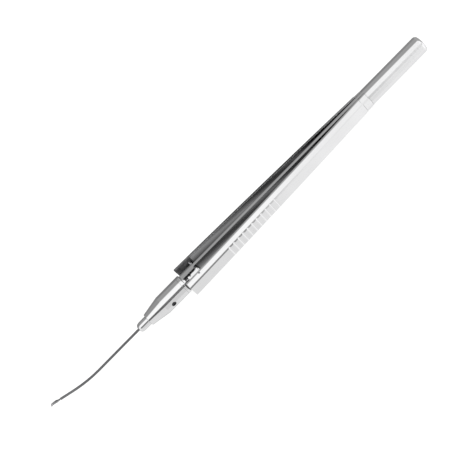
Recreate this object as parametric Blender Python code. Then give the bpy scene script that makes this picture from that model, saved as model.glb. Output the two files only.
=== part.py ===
"""Squeeze-handle micro forceps with a bent 0.64 mm shaft and hooked jaws.

Frame: +X runs along the handle towards the jaws, +Y is the left arm's side, and +Z is the side
that the shaft bends to. The origin is the middle of the flat end of the tail rod.
All driving dimensions below are in millimetres and degrees.
"""

import math

import bmesh
import bpy
from mathutils import Matrix, Vector

MM = 0.001

# Core: tail rod, plate, tongue and boss
ROD_R = 2.45
ROOT_X = 19.5
TAIL_FLAT_R = 1.3
PLATE_HALF_T = 0.45
PLATE_R = 2.43
TONGUE_START_X = 80.25
TONGUE_HALF_T = 0.85
CORE_FRONT_X = 84.25
BOSS_R = 1.95
BOSS_END_X = 86.5
THREAD_CLEARANCE = 0.03
PUSHROD_CLEARANCE = 0.05
SLOT_X = (79.4, 83.85)
SLOT_HALF_Z = 1.42

# Arms
ARM_R = 2.55
ARM_ROOT_R = 2.45
ARM_GAP = 0.03
ARM_FRONT_X = 84.25
ARM_START_X = 19.55
ARM_STEP_X = 21.75
ARM_SPREAD = 2.55
ARM_BOW = 0.32
ARM_FLAT = 2.1
PAD_START_X = 72.0
GROOVE_COUNT = 11
GROOVE_PITCH = 1.63
GROOVE_WIDTH = 0.76
GROOVE_FIRST_X = 54.0
GROOVE_DEPTH = 0.22
POCKET_START_X = 79.3
POCKET_HALF_Z = 1.25
POCKET_DEPTH = 1.25
DOWEL_X = (20.3, 21.25)
DOWEL_R = 0.3
DOWEL_HALF_LENGTH = 1.6
DOWEL_FIT = 0.02
DOWEL_SEAT_FIT = 0.08

# Toggle linkage
ARM_PIN_X = 80.0
ARM_PIN_Y = 3.45
ARM_PIN_R = 0.25
SLIDER_PIN_X = 82.2
SLIDER_PIN_Y = 0.65
SLIDER_PIN_R = 0.25
LINK_EYE_R = 0.48
LINK_HALF_T = 0.36
LINK_BARREL_HALF_Z = 1.15
OPEN_PIVOT_CLEARANCE = 0.08
PIN_CLEARANCE = 0.03
PIN_FIT = 0.02

# Slider block
SLIDER_X = (79.6, 83.0)
SLIDER_HALF_Y = 1.2
SLIDER_HALF_Z = 1.35
SLIDER_CHAMFER = 0.6
SLIDER_WEB_HALF_Y = 0.13
SLIDER_BACK_WALL = 0.85
LINK_SIDE_CLEARANCE = 0.05

# Plunger and what it carries
TRAVEL = 0.7
PUSHROD_R = 0.6
PLUNGER_X = (86.9, 92.9)
PLUNGER_R = 1.45
PLUNGER_BORE_R = 0.75
PLUNGER_BORE_X = 87.5
HUB_X = 91.85

# Nose
LOCK_RING_X = (84.42, 85.4)
LOCK_RING_CHAMFER = 0.35
NOSE_X = (85.43, 97.45)
NOSE_R = 2.6
NOSE_CONE_X = 92.25
NOSE_FRONT_R = 1.72
NOSE_BORE_R = 1.5
NOSE_BORE_END_X = 95.2
NOSE_THREAD_END_X = 86.65
SPIGOT_R = 0.95
FERRULE_X = (97.5, 100.75)
FERRULE_R = 1.3
FERRULE_SPIGOT_X = 95.45
BUSH_R = 0.62
BUSH_X = (96.75, 98.5)
SEAL_X = (95.75, 96.6)

# Set screw and wire anchor
SCREW_X = 89.95
SCREW_R = 0.62
SCREW_TOP_Y = 2.25
SCREW_SHOULDER_Y = 1.58
SCREW_SLOT_HALF_W = 0.11
SCREW_SLOT_DEPTH = 0.3
SCREW_TIP_R = 0.36
SCREW_TIP_Y = 0.6
ANCHOR_X = (88.45, 91.05)
ANCHOR_R = 0.7

# Shaft tube
TUBE_R = 0.32
TUBE_BORE_R = 0.25
TUBE_START_X = 91.95
BEND_START_X = 114.75
BEND_R = 27.5
BEND_DEG = 18.1
TUBE_TIP_LENGTH = 3.56
WIRE_R = 0.1

# Jaws, measured from the mouth of the tube along the tube's last straight run
JAW_ROOT = -1.25
JAW_PIVOT = -1.2
JAW_STRAIGHT = 2.4
HOOK_R = 0.35
HOOK_DEG = 62.0
HOOK_LENGTH = 0.42
JAW_ROOT_GAP = 0.02
JAW_OPEN_SLOPE = 0.044
JAW_GAP_END = 2.9
JAW_BULGE_LEFT = 0.4
JAW_BULGE_RIGHT = 0.52

# Return spring
SPRING_X = (92.95, 95.15)
SPRING_R = 0.95
SPRING_WIRE_R = 0.12
SPRING_TURNS = 4.5

STEEL = {"color": (0.80, 0.80, 0.81), "roughness": 0.16, "metallic": 1.0}
SATIN_STEEL = {"color": (0.66, 0.66, 0.67), "roughness": 0.30, "metallic": 1.0}
DARK_STEEL = {"color": (0.36, 0.36, 0.37), "roughness": 0.28, "metallic": 1.0}
BLACK_STEEL = {"color": (0.07, 0.07, 0.075), "roughness": 0.38, "metallic": 1.0}
SPRING_STEEL = {"color": (0.55, 0.55, 0.57), "roughness": 0.32, "metallic": 1.0}
SEAL_RUBBER = {"color": (0.10, 0.10, 0.11), "roughness": 0.60, "metallic": 0.0}


# ---------------------------------------------------------------- helpers

def clear_scene():
    """Remove every object that the scene starts with."""
    for old in list(bpy.data.objects):
        bpy.data.objects.remove(old, do_unlink=True)


def make_material(name, look):
    """A Principled material for one sub-part."""
    material = bpy.data.materials.new(name)
    material.use_nodes = True
    shader = material.node_tree.nodes["Principled BSDF"]
    shader.inputs["Base Color"].default_value = (*look["color"], 1.0)
    shader.inputs["Roughness"].default_value = look["roughness"]
    shader.inputs["Metallic"].default_value = look["metallic"]
    material.diffuse_color = (*look["color"], 1.0)
    return material


def make_object(name, bm, look, origin=(0.0, 0.0, 0.0)):
    """Turn a bmesh in millimetres into an object in metres whose origin is at the given point."""
    bmesh.ops.recalc_face_normals(bm, faces=bm.faces[:])
    shift = Matrix.Translation(-Vector(origin))
    bmesh.ops.transform(bm, matrix=Matrix.Scale(MM, 4) @ shift, verts=bm.verts[:])
    mesh = bpy.data.meshes.new(name)
    bm.to_mesh(mesh)
    bm.free()
    mesh.shade_smooth()
    mesh.set_sharp_from_angle(angle=math.radians(28.0))
    obj = bpy.data.objects.new(name, mesh)
    obj.location = Vector(origin) * MM
    bpy.context.collection.objects.link(obj)
    if look is not None:
        mesh.materials.append(make_material(name, look))
    return obj


def skin(rings, closed_run=False):
    """Faces between closed rings of points; an open run gets a flat cap at both ends."""
    bm = bmesh.new()
    rows = [[bm.verts.new(point) for point in ring] for ring in rings]
    pairs = list(zip(rows[:-1], rows[1:]))
    if closed_run:
        pairs.append((rows[-1], rows[0]))
    count = len(rows[0])
    for first, second in pairs:
        for i in range(count):
            j = (i + 1) % count
            bm.faces.new((first[i], first[j], second[j], second[i]))
    if not closed_run:
        bm.faces.new(rows[0])
        bm.faces.new(rows[-1])
    return bm


def circle_ring(x, radius, segments):
    """Points of a circle about the X axis."""
    step = 2.0 * math.pi / segments
    angles = [i * step for i in range(segments)]
    return [Vector((x, radius * math.cos(a), radius * math.sin(a))) for a in angles]


def turned(profile, segments=32, hollow=False):
    """Turn a profile of (x, radius) points about X; a hollow one closes on itself."""
    return skin([circle_ring(x, r, segments) for x, r in profile], closed_run=hollow)


def rod_along(start, end, radius, segments=20):
    """A plain round rod between two points."""
    start = Vector(start)
    end = Vector(end)
    bm = turned([(0.0, radius), ((end - start).length, radius)], segments)
    turn = (end - start).to_track_quat("X", "Z").to_matrix().to_4x4()
    bmesh.ops.transform(bm, matrix=Matrix.Translation(start) @ turn, verts=bm.verts[:])
    return bm


def block(low, high):
    """A box between two corners."""
    low = Vector(low)
    high = Vector(high)
    bm = bmesh.new()
    bmesh.ops.create_cube(bm, size=1.0)
    size = Matrix.Diagonal((*(high - low), 1.0))
    bmesh.ops.transform(bm, matrix=Matrix.Translation((low + high) / 2.0) @ size, verts=bm.verts[:])
    return bm


def combine(target, bm, operation):
    """Cut the given shape out of the target, or join it to the target."""
    tool = make_object(f"tool_{target.name}_{len(target.modifiers)}", bm, None)
    tool.display_type = "WIRE"
    tool.hide_render = True
    modifier = target.modifiers.new(operation.lower(), "BOOLEAN")
    modifier.operation = operation
    modifier.solver = "EXACT"
    modifier.object = tool


def slab_section(x, half_t, radius, arc_points=5):
    """Section of a round bar that is milled to a slab on both Y sides."""
    edge = math.asin(half_t / radius)
    angles = [-edge + 2.0 * edge * i / (arc_points - 1) for i in range(arc_points)]
    top = [Vector((x, -radius * math.sin(a), radius * math.cos(a))) for a in angles]
    bottom = [Vector((x, -p.y, -p.z)) for p in top]
    return top + bottom


# ---------------------------------------------------------------- core

def build_core():
    """Tail rod, plate, tongue and threaded boss, turned and milled from one bar."""
    tail = [(0.0, TAIL_FLAT_R), (0.1, 1.9), (0.24, 2.22), (0.5, ROD_R), (ROOT_X, ROD_R)]
    core = make_object("core_frame", turned(tail, 48), STEEL)
    plate_x = (ROOT_X - 0.6, TONGUE_START_X + 0.4)
    plate = [slab_section(x, PLATE_HALF_T, PLATE_R) for x in plate_x]
    combine(core, skin(plate), "UNION")
    tongue_stations = [
        (TONGUE_START_X - 0.45, PLATE_HALF_T - 0.12),
        (TONGUE_START_X, TONGUE_HALF_T),
        (CORE_FRONT_X, TONGUE_HALF_T),
    ]
    tongue = [slab_section(x, half_t, PLATE_R - 0.02) for x, half_t in tongue_stations]
    combine(core, skin(tongue), "UNION")
    boss_start = CORE_FRONT_X - 0.2
    boss = [(boss_start, BOSS_R), (BOSS_END_X - 0.2, BOSS_R), (BOSS_END_X, BOSS_R - 0.2)]
    combine(core, turned(boss, 32), "UNION")
    slot = block((SLOT_X[0], -2.0, -SLOT_HALF_Z), (SLOT_X[1], 2.0, SLOT_HALF_Z))
    combine(core, slot, "DIFFERENCE")
    bore_r = PUSHROD_R + PUSHROD_CLEARANCE
    bore = [(SLOT_X[1] - 0.3, bore_r), (BOSS_END_X + 0.5, bore_r)]
    combine(core, turned(bore, 24), "DIFFERENCE")
    for x in DOWEL_X:
        hole = rod_along((x, -1.0, 0.0), (x, 1.0, 0.0), DOWEL_R + DOWEL_FIT)
        combine(core, hole, "DIFFERENCE")
    return core


# ---------------------------------------------------------------- arms

def arm_offset(x):
    """How far an arm's own centre line has moved out from the axis at x."""
    t = (x - ROOT_X) / (ARM_FRONT_X - ROOT_X)
    return ARM_SPREAD * (t + ARM_BOW * t * (1.0 - t))


def arm_section(x, side, radius, flat, arc_points=7):
    """Half-round section with a flat inside and a narrower flat outside."""
    inner = PLATE_HALF_T + ARM_GAP
    first = math.acos(inner / radius)
    last = math.acos(min(flat / radius, 0.9995))
    angles = [first + (last - first) * i / (arc_points - 1) for i in range(arc_points)]
    offset = arm_offset(x)
    half = [(offset + radius * math.cos(a), radius * math.sin(a)) for a in angles]
    loop = half + [(y, -z) for y, z in reversed(half)]
    return [Vector((x, side * y, z)) for y, z in loop]


def arm_stations():
    """Stations (x, radius, flat) of an arm from its root to its front end."""
    stations = [(ARM_START_X, ARM_ROOT_R, ARM_ROOT_R), (ARM_STEP_X - 0.1, ARM_ROOT_R, ARM_ROOT_R)]
    steps = 7
    for i in range(steps + 1):
        x = ARM_STEP_X + (GROOVE_FIRST_X - 1.0 - ARM_STEP_X) * i / steps
        stations.append((x, ARM_R, ARM_FLAT))
    for k in range(GROOVE_COUNT):
        middle = GROOVE_FIRST_X + k * GROOVE_PITCH
        for part in (-0.5, -0.25, 0.0, 0.25, 0.5):
            depth = GROOVE_DEPTH * math.cos(math.pi * part)
            stations.append((middle + GROOVE_WIDTH * part, ARM_R, ARM_FLAT - depth))
    stations.append((PAD_START_X, ARM_R, ARM_FLAT))
    stations.append((ARM_FRONT_X, ARM_R, ARM_FLAT))
    return stations


def build_arm(name, side):
    """One spring arm; its origin is where it flexes at the root."""
    rings = [arm_section(x, side, radius, flat) for x, radius, flat in arm_stations()]
    root = (ROOT_X, side * (PLATE_HALF_T + ARM_GAP), 0.0)
    arm = make_object(name, skin(rings), STEEL, root)
    inner = arm_offset(ARM_PIN_X) + PLATE_HALF_T
    ends = sorted((side * (inner - 0.8), side * (inner + POCKET_DEPTH)))
    pocket = block((POCKET_START_X, ends[0], -POCKET_HALF_Z), (ARM_FRONT_X + 1.0, ends[1], POCKET_HALF_Z))
    combine(arm, pocket, "DIFFERENCE")
    pin_y = side * ARM_PIN_Y
    hole = rod_along((ARM_PIN_X, pin_y, -3.0), (ARM_PIN_X, pin_y, 3.0), ARM_PIN_R + PIN_FIT)
    combine(arm, hole, "DIFFERENCE")
    for x in DOWEL_X:
        hole_end = side * (DOWEL_HALF_LENGTH + 0.1)
        hole = rod_along((x, side * 0.3, 0.0), (x, hole_end, 0.0), DOWEL_R + DOWEL_SEAT_FIT)
        combine(arm, hole, "DIFFERENCE")
    return arm


def build_root_dowels():
    """Two dowels through the core that seat both arms."""
    for name, x in zip(("root_dowel_rear", "root_dowel_front"), DOWEL_X):
        start = (x, -DOWEL_HALF_LENGTH, 0.0)
        end = (x, DOWEL_HALF_LENGTH, 0.0)
        make_object(name, rod_along(start, end, DOWEL_R, 16), SATIN_STEEL)


# ---------------------------------------------------------------- toggle linkage

def build_arm_pin(name, side):
    """Cross pin of an arm, ground flush with the arm's round sides."""
    outboard = ARM_PIN_Y - arm_offset(ARM_PIN_X)
    half_z = math.sqrt(ARM_R ** 2 - outboard ** 2) - 0.04
    y = side * ARM_PIN_Y
    start = (ARM_PIN_X, y, -half_z)
    end = (ARM_PIN_X, y, half_z)
    return make_object(name, rod_along(start, end, ARM_PIN_R), SATIN_STEEL, (ARM_PIN_X, y, 0.0))


def build_slider_pin(name, side):
    """Pin that joins a link to the slider block."""
    y = side * SLIDER_PIN_Y
    half_z = SLIDER_HALF_Z - 0.1
    start = (SLIDER_PIN_X, y, -half_z)
    end = (SLIDER_PIN_X, y, half_z)
    return make_object(name, rod_along(start, end, SLIDER_PIN_R), SATIN_STEEL, (SLIDER_PIN_X, y, 0.0))


def build_link(name, side):
    """Toggle link from the arm's pin to the slider's pin."""
    start = Vector((ARM_PIN_X, side * ARM_PIN_Y, 0.0))
    end = Vector((SLIDER_PIN_X, side * SLIDER_PIN_Y, 0.0))
    along = (end - start).normalized()
    angle = math.atan2(along.y, along.x)
    outline = []
    for i in range(13):
        a = angle + math.pi / 2.0 + math.pi * i / 12
        outline.append(start + Vector((math.cos(a), math.sin(a), 0.0)) * LINK_EYE_R)
    for i in range(13):
        a = angle - math.pi / 2.0 + math.pi * i / 12
        outline.append(end + Vector((math.cos(a), math.sin(a), 0.0)) * LINK_EYE_R)
    rings = [[p + Vector((0.0, 0.0, z)) for p in outline] for z in (-LINK_HALF_T, LINK_HALF_T)]
    link = make_object(name, skin(rings), SATIN_STEEL, start)
    barrel_z = Vector((0.0, 0.0, LINK_BARREL_HALF_Z))
    combine(link, rod_along(start - barrel_z, start + barrel_z, LINK_EYE_R - 0.02, 24), "UNION")
    through = Vector((0.0, 0.0, 2.0))
    combine(link, rod_along(start - through, start + through, ARM_PIN_R + PIN_CLEARANCE), "DIFFERENCE")
    open_r = SLIDER_PIN_R + OPEN_PIVOT_CLEARANCE
    combine(link, rod_along(end - through, end + through, open_r), "DIFFERENCE")
    return link


def build_slider_block():
    """Chamfered block that slides in the core's slot and holds both links."""
    y, z, c = SLIDER_HALF_Y, SLIDER_HALF_Z, SLIDER_CHAMFER
    corner = [(y - c, z), (y, z - c)]
    section = corner + [(a, -b) for a, b in reversed(corner)]
    section += [(-a, -b) for a, b in corner] + [(-a, b) for a, b in reversed(corner)]
    rings = [[Vector((x, a, b)) for a, b in section] for x in SLIDER_X]
    slider = make_object("slider_block", skin(rings), STEEL)
    link_space = LINK_HALF_T + LINK_SIDE_CLEARANCE
    back = SLIDER_X[0] + SLIDER_BACK_WALL
    front = SLIDER_PIN_X + LINK_EYE_R + LINK_SIDE_CLEARANCE
    for side in (-1.0, 1.0):
        ends = sorted((side * SLIDER_WEB_HALF_Y, side * (SLIDER_HALF_Y + 1.0)))
        slot = block((back, ends[0], -link_space), (front, ends[1], link_space))
        combine(slider, slot, "DIFFERENCE")
        pin_y = side * SLIDER_PIN_Y
        hole_r = SLIDER_PIN_R + PIN_FIT
        hole = rod_along((SLIDER_PIN_X, pin_y, -2.0), (SLIDER_PIN_X, pin_y, 2.0), hole_r)
        combine(slider, hole, "DIFFERENCE")
    return slider


# ---------------------------------------------------------------- plunger and nose

def build_plunger():
    """Push rod and barrel; the barrel's side window clears the set screw over the travel."""
    start, end = PLUNGER_X
    profile = [
        (SLIDER_X[1] + 0.03, PUSHROD_R),
        (start, PUSHROD_R),
        (start, PLUNGER_R - 0.1),
        (start + 0.1, PLUNGER_R),
        (end, PLUNGER_R),
    ]
    plunger = make_object("plunger", turned(profile, 28), SATIN_STEEL)
    bore = [(PLUNGER_BORE_X, PLUNGER_BORE_R), (end + 1.0, PLUNGER_BORE_R)]
    combine(plunger, turned(bore, 24), "DIFFERENCE")
    back = SCREW_X - SCREW_TIP_R - TRAVEL - 0.1
    front = SCREW_X + SCREW_TIP_R + 0.1
    window = block((back, 0.2, -SCREW_TIP_R - 0.1), (front, 2.0, SCREW_TIP_R + 0.1))
    combine(plunger, window, "DIFFERENCE")
    return plunger


def build_tube_hub():
    """Plug in the plunger's front end that holds the shaft tube."""
    end = PLUNGER_X[1]
    profile = [
        (HUB_X, PLUNGER_BORE_R - 0.03),
        (end - 0.02, PLUNGER_BORE_R - 0.03),
        (end - 0.02, TUBE_R + 0.02),
        (HUB_X, TUBE_R + 0.02),
    ]
    return make_object("tube_hub", turned(profile, 24, hollow=True), SATIN_STEEL)


def build_lock_ring():
    """Ring that locks the nose on the boss."""
    start, end = LOCK_RING_X
    inner = BOSS_R + THREAD_CLEARANCE
    profile = [
        (start, inner),
        (start, NOSE_R - LOCK_RING_CHAMFER),
        (start + LOCK_RING_CHAMFER, NOSE_R),
        (end - 0.06, NOSE_R),
        (end, NOSE_R - 0.06),
        (end, inner),
    ]
    return make_object("lock_ring", turned(profile, 48, hollow=True), STEEL)


def build_nose_body():
    """Cylinder and cone, bored for the plunger, with the side hole of the set screw."""
    start, end = NOSE_X
    thread_r = BOSS_R + THREAD_CLEARANCE
    spigot_r = SPIGOT_R + 0.03
    profile = [
        (start, thread_r),
        (start, NOSE_R - 0.05),
        (start + 0.05, NOSE_R),
        (NOSE_CONE_X, NOSE_R),
        (end - 0.12, NOSE_FRONT_R + 0.02),
        (end, NOSE_FRONT_R - 0.1),
        (end, spigot_r),
        (NOSE_BORE_END_X, spigot_r),
        (NOSE_BORE_END_X, NOSE_BORE_R),
        (NOSE_THREAD_END_X, NOSE_BORE_R),
        (NOSE_THREAD_END_X, thread_r),
    ]
    nose = make_object("nose_body", turned(profile, 48, hollow=True), STEEL)
    hole = rod_along((SCREW_X, 0.5, 0.0), (SCREW_X, 3.5, 0.0), SCREW_R + 0.02, 24)
    combine(nose, hole, "DIFFERENCE")
    return nose


def build_ferrule():
    """Round-nosed front sleeve with a spigot in the nose."""
    start, end = FERRULE_X
    tube_hole_r = TUBE_R + 0.05
    socket_r = BUSH_R + 0.03
    spigot_r = SPIGOT_R
    profile = [
        (FERRULE_SPIGOT_X, socket_r),
        (FERRULE_SPIGOT_X, spigot_r),
        (start, spigot_r),
        (start, FERRULE_R - 0.05),
        (start + 0.05, FERRULE_R),
    ]
    round_length = 1.15
    front_r = 0.62
    for i in range(7):
        a = math.pi / 2.0 * i / 6
        x = end - round_length + round_length * math.sin(a)
        profile.append((x, front_r + (FERRULE_R - front_r) * math.cos(a)))
    profile += [(end, tube_hole_r), (BUSH_X[1] + 0.05, tube_hole_r), (BUSH_X[1] + 0.05, socket_r)]
    return make_object("nose_ferrule", turned(profile, 40, hollow=True), STEEL)


def build_bush():
    """Sleeve that guides the sliding tube."""
    start, end = BUSH_X
    inner = TUBE_R + 0.03
    profile = [(start, inner), (start, BUSH_R), (end, BUSH_R), (end, inner)]
    return make_object("guide_bush", turned(profile, 24, hollow=True), SATIN_STEEL)


def build_seal():
    """Rubber ring that seals the tube behind the bush."""
    middle_x = (SEAL_X[0] + SEAL_X[1]) / 2.0
    middle_r = (TUBE_R + BUSH_R + 0.03) / 2.0
    half_w = (BUSH_R - TUBE_R - 0.05) / 2.0
    profile = []
    for i in range(10):
        a = 2.0 * math.pi * i / 10
        profile.append((middle_x - 0.3 * math.cos(a), middle_r + half_w * math.sin(a)))
    return make_object("seal_ring", turned(profile, 24, hollow=True), SEAL_RUBBER)


def build_set_screw():
    """Slotted screw, sunk in the nose's side hole, whose tip holds the wire anchor."""
    profile = [
        (SCREW_TIP_Y, SCREW_TIP_R - 0.1),
        (SCREW_TIP_Y + 0.1, SCREW_TIP_R),
        (SCREW_SHOULDER_Y, SCREW_TIP_R),
        (SCREW_SHOULDER_Y, SCREW_R),
        (SCREW_TOP_Y, SCREW_R),
    ]
    bm = turned(profile, 24)
    stand = Matrix.Translation((SCREW_X, 0.0, 0.0)) @ Matrix.Rotation(math.pi / 2.0, 4, "Z")
    bmesh.ops.transform(bm, matrix=stand, verts=bm.verts[:])
    screw = make_object("set_screw", bm, BLACK_STEEL)
    slot_low = (SCREW_X - SCREW_SLOT_HALF_W, SCREW_TOP_Y - SCREW_SLOT_DEPTH, -1.0)
    slot_high = (SCREW_X + SCREW_SLOT_HALF_W, SCREW_TOP_Y + 0.5, 1.0)
    slot = block(slot_low, slot_high)
    combine(screw, slot, "DIFFERENCE")
    return screw


def build_anchor():
    """Anchor that holds the wire still inside the plunger's barrel."""
    start, end = ANCHOR_X
    inner = WIRE_R + 0.02
    profile = [(start, inner), (start, ANCHOR_R), (end, ANCHOR_R), (end, inner)]
    anchor = make_object("wire_anchor", turned(profile, 24, hollow=True), SATIN_STEEL)
    dimple = rod_along((SCREW_X, SCREW_TIP_Y - 0.05, 0.0), (SCREW_X, 1.5, 0.0), SCREW_TIP_R + 0.03)
    combine(anchor, dimple, "DIFFERENCE")
    return anchor


def build_spring():
    """Compression spring between the nose's shoulder and the plunger."""
    start = SPRING_X[0] + SPRING_WIRE_R
    end = SPRING_X[1] - SPRING_WIRE_R
    turns, per_turn, sides = SPRING_TURNS, 20, 6
    count = int(turns * per_turn)
    pitch = (end - start) / turns
    rings = []
    for i in range(count + 1):
        a = 2.0 * math.pi * i / per_turn
        centre = Vector((start + pitch * i / per_turn, SPRING_R * math.cos(a), SPRING_R * math.sin(a)))
        out = Vector((0.0, math.cos(a), math.sin(a)))
        run = Vector((pitch / (2.0 * math.pi * SPRING_R), -math.sin(a), math.cos(a))).normalized()
        across = run.cross(out)
        ring = []
        for k in range(sides):
            b = 2.0 * math.pi * k / sides
            ring.append(centre + (out * math.cos(b) + across * math.sin(b)) * SPRING_WIRE_R)
        rings.append(ring)
    return make_object("return_spring", skin(rings), SPRING_STEEL)


# ---------------------------------------------------------------- shaft, wire and jaws

def shaft_frame(run):
    """Centre, along and up vectors of the shaft's line, run mm after the bend starts."""
    bend_length = BEND_R * math.radians(BEND_DEG)
    angle = min(max(run, 0.0), bend_length) / BEND_R
    centre = Vector((BEND_START_X + BEND_R * math.sin(angle), 0.0, BEND_R * (1.0 - math.cos(angle))))
    along = Vector((math.cos(angle), 0.0, math.sin(angle)))
    up = Vector((-math.sin(angle), 0.0, math.cos(angle)))
    extra = run - bend_length if run > bend_length else min(run, 0.0)
    return centre + along * extra, along, up


def mouth_run():
    """Run of the tube's mouth after the start of the bend."""
    return BEND_R * math.radians(BEND_DEG) + TUBE_TIP_LENGTH


def shaft_ring(run, radius, segments):
    """A circle across the shaft's line."""
    centre, _, up = shaft_frame(run)
    side = Vector((0.0, 1.0, 0.0))
    step = 2.0 * math.pi / segments
    angles = [i * step for i in range(segments)]
    return [centre + (side * math.cos(a) + up * math.sin(a)) * radius for a in angles]


def bend_runs(first, last, steps):
    """Evenly spaced runs between two values, both included."""
    return [first + (last - first) * i / steps for i in range(steps + 1)]


def build_shaft_tube():
    """Outer tube; it slides forward over the jaws to close them."""
    bend_length = BEND_R * math.radians(BEND_DEG)
    runs = [TUBE_START_X - BEND_START_X] + bend_runs(0.0, bend_length, 9)
    outer = [shaft_ring(run, TUBE_R, 20) for run in runs]
    outer += [shaft_ring(mouth_run() - 0.03, TUBE_R, 20), shaft_ring(mouth_run(), TUBE_R - 0.03, 20)]
    inner = [shaft_ring(run, TUBE_BORE_R, 20) for run in runs + [mouth_run()]]
    return make_object("shaft_tube", skin(outer + inner[::-1], closed_run=True), DARK_STEEL)


def build_wires():
    """The holding wire, in two lengths that meet halfway round the bend."""
    half = BEND_R * math.radians(BEND_DEG) / 2.0
    rear_runs = [ANCHOR_X[0] - BEND_START_X] + bend_runs(0.0, half - 0.02, 5)
    make_object("core_wire", skin([shaft_ring(run, WIRE_R, 12) for run in rear_runs]), SPRING_STEEL)
    stem_end = mouth_run() + JAW_ROOT - 0.05
    front_runs = bend_runs(half + 0.02, 2.0 * half, 5) + [stem_end]
    origin = shaft_frame(front_runs[0])[0]
    rings = [shaft_ring(run, WIRE_R, 12) for run in front_runs]
    make_object("jaw_stem", skin(rings), SPRING_STEEL, origin)


def jaw_line(run):
    """Distance along, height and turn angle of a jaw's middle line, run mm from the mouth."""
    turn = math.radians(HOOK_DEG)
    if run <= JAW_STRAIGHT:
        return run, 0.0, 0.0
    arc = min((run - JAW_STRAIGHT) / HOOK_R, turn)
    along = JAW_STRAIGHT + HOOK_R * math.sin(arc)
    height = -HOOK_R * (1.0 - math.cos(arc))
    extra = max(run - JAW_STRAIGHT - HOOK_R * turn, 0.0)
    return along + extra * math.cos(arc), height - extra * math.sin(arc), arc


def jaw_stations(bulge):
    """Stations (run, inner y, outer y, half height) of a jaw from its root to its pointed tip."""
    tip_run = JAW_STRAIGHT + HOOK_R * math.radians(HOOK_DEG) + HOOK_LENGTH
    shape = [
        (JAW_ROOT, 0.19, 0.15),
        (-0.6, 0.205, 0.16),
        (0.0, 0.222, 0.165),
        (0.35, 0.262, 0.17),
        (0.67, 0.308, 0.18),
        (0.86, 0.5 * (0.308 + bulge), 0.19),
        (1.05, bulge, 0.2),
        (1.3, bulge - 0.01, 0.2),
        (1.7, 0.7 * bulge + 0.3 * 0.36, 0.185),
        (2.1, 0.3 * bulge + 0.7 * 0.36, 0.165),
        (JAW_STRAIGHT, 0.355, 0.15),
        (JAW_STRAIGHT + 0.13, 0.345, 0.14),
        (JAW_STRAIGHT + 0.26, 0.335, 0.13),
        (JAW_STRAIGHT + 0.38, 0.325, 0.11),
        (tip_run - 0.15, 0.28, 0.07),
        (tip_run, 0.235, 0.025),
    ]
    table = []
    for run, outer, half in shape:
        inner = JAW_ROOT_GAP + JAW_OPEN_SLOPE * (min(run, JAW_GAP_END) - JAW_ROOT)
        table.append((run, inner, outer, half))
    return table


def build_jaw(name, side, bulge):
    """One jaw: a half-oval blade with a cam bulge and a hooked tip; its origin is its flexing root."""
    mouth, along, up = shaft_frame(mouth_run())
    rings = []
    for run, inner, outer, half in jaw_stations(bulge):
        distance, height, turn = jaw_line(run)
        centre = mouth + along * distance + up * height
        tall = up * math.cos(turn) + along * math.sin(turn)
        ring = []
        for i in range(9):
            a = math.pi * i / 8 - math.pi / 2.0
            y = inner + (outer - inner) * math.cos(a)
            ring.append(centre + tall * (half * math.sin(a)) + Vector((0.0, side * y, 0.0)))
        rings.append(ring)
    pivot = mouth + along * JAW_PIVOT
    return make_object(name, skin(rings), STEEL, pivot)


def main():
    """Build every sub-part."""
    clear_scene()
    build_core()
    build_root_dowels()
    build_slider_block()
    for name, side in (("left", 1.0), ("right", -1.0)):
        build_arm(f"arm_{name}", side)
        build_arm_pin(f"arm_pin_{name}", side)
        build_slider_pin(f"slider_pin_{name}", side)
        build_link(f"link_{name}", side)
    build_plunger()
    build_tube_hub()
    build_lock_ring()
    build_nose_body()
    build_ferrule()
    build_bush()
    build_seal()
    build_set_screw()
    build_anchor()
    build_spring()
    build_shaft_tube()
    build_wires()
    build_jaw("jaw_left", 1.0, JAW_BULGE_LEFT)
    build_jaw("jaw_right", -1.0, JAW_BULGE_RIGHT)


main()
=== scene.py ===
"""Looks of the squeeze-handle micro forceps: fine meshes, steel finishes, studio and camera.

Modelling is in millimetres in the frame's axes: +X along the handle towards the jaws, +Y the left
arm's side, +Z the side that the shaft bends to. to_object() turns millimetres into metres.
"""

import math

import bmesh
import bpy
from mathutils import Matrix, Vector


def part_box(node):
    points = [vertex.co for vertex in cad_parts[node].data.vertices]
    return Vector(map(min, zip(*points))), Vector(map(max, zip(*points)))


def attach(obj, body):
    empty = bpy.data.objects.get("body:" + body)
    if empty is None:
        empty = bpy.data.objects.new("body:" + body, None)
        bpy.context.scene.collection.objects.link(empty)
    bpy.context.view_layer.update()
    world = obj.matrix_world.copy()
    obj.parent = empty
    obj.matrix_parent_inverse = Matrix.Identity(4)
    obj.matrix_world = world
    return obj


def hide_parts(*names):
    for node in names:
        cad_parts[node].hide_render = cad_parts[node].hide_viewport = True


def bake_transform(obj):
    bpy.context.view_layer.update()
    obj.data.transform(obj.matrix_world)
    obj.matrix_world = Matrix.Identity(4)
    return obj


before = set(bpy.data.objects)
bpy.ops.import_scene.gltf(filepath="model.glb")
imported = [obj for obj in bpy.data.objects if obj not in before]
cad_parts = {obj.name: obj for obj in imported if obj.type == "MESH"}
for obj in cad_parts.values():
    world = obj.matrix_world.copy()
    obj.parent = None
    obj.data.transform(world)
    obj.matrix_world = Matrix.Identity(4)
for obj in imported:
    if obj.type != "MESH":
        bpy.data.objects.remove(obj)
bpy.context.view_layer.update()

MM = 0.001


def low(node):
    """Lowest corner of a CAD node, in millimetres."""
    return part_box(node)[0] / MM


def high(node):
    """Highest corner of a CAD node, in millimetres."""
    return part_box(node)[1] / MM


# ---------------------------------------------------------------- dimensions in millimetres

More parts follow.
